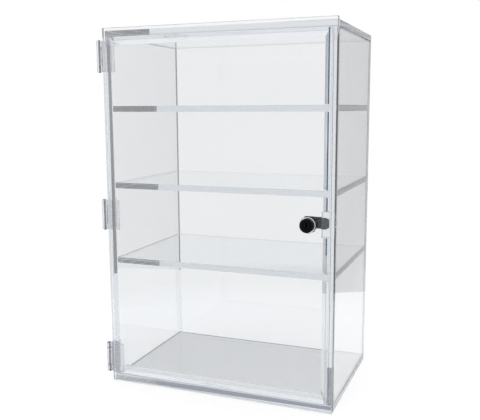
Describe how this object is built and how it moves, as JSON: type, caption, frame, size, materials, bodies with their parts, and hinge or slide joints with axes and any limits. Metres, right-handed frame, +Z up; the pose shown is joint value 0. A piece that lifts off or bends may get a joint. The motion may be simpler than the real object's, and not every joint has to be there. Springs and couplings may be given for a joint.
{
  "type": "display case",
  "caption": "Upright clear acrylic display case with fixed shelves, a full-height door on clear side hinges and a black cam lock.",
  "frame": {"origin": "centre of the bottom panel's underside, which the case stands on", "axes": "+X right as a person faces the door, +Y to the back (the door faces -Y), +Z up"},
  "size_m": [0.4015, 0.268, 0.604],
  "materials": {
    "clear_acrylic": "polished",
    "black_lock": "gloss",
    "chrome": "polished",
    "zinc_steel": "satin",
    "brass": "satin",
    "black_rubber": "matte"
  },
  "bodies": {
    "case": {"bottom_panel": "clear_acrylic", "top_panel": "clear_acrylic", "left_side_panel": "clear_acrylic", "right_side_panel": "clear_acrylic", "back_panel": "clear_acrylic", "shelf_lower": "clear_acrylic", "shelf_middle": "clear_acrylic", "shelf_upper": "clear_acrylic", "stop_strip_top": "clear_acrylic", "stop_strip_bottom": "clear_acrylic", "stop_strip_right_bottom": "clear_acrylic", "stop_strip_right_below_lock": "clear_acrylic", "strike_block": "clear_acrylic", "stop_strip_right_above_lock": "clear_acrylic", "stop_strip_right_upper": "clear_acrylic", "stop_strip_right_top": "clear_acrylic", "door_bumper_lower": "clear_acrylic", "door_bumper_upper": "clear_acrylic", "hinge_lower_case_leaf": "clear_acrylic", "hinge_middle_case_leaf": "clear_acrylic", "hinge_upper_case_leaf": "clear_acrylic", "hinge_lower_pin": "clear_acrylic", "hinge_middle_pin": "clear_acrylic", "hinge_upper_pin": "clear_acrylic"},
    "door": {"door_panel": "clear_acrylic", "hinge_lower_door_leaf": "clear_acrylic", "hinge_middle_door_leaf": "clear_acrylic", "hinge_upper_door_leaf": "clear_acrylic", "lock_housing": "black_lock", "lock_bezel": "chrome", "lock_gasket": "black_rubber", "lock_nut": "black_lock"},
    "lock_cylinder": {"lock_plug": "black_lock", "lock_wafer_1": "brass", "lock_wafer_2": "brass", "lock_wafer_3": "brass", "lock_wafer_4": "brass", "lock_wafer_5": "brass", "lock_stop_washer": "zinc_steel", "lock_cam": "black_lock", "lock_cam_washer": "zinc_steel", "lock_cam_screw": "zinc_steel"}
  },
  "joints": [
    {"name": "door_swing", "type": "hinge", "parent": "case", "child": "door", "pos_m": [-0.201, -0.1367, 0.3], "axis": [0, 0, -1], "range_deg": [0, 180]},
    {"name": "lock_turn", "type": "hinge", "parent": "door", "child": "lock_cylinder", "pos_m": [0.155, -0.123, 0.298], "axis": [0, -1, 0], "range_deg": [0, 90]}
  ]
}
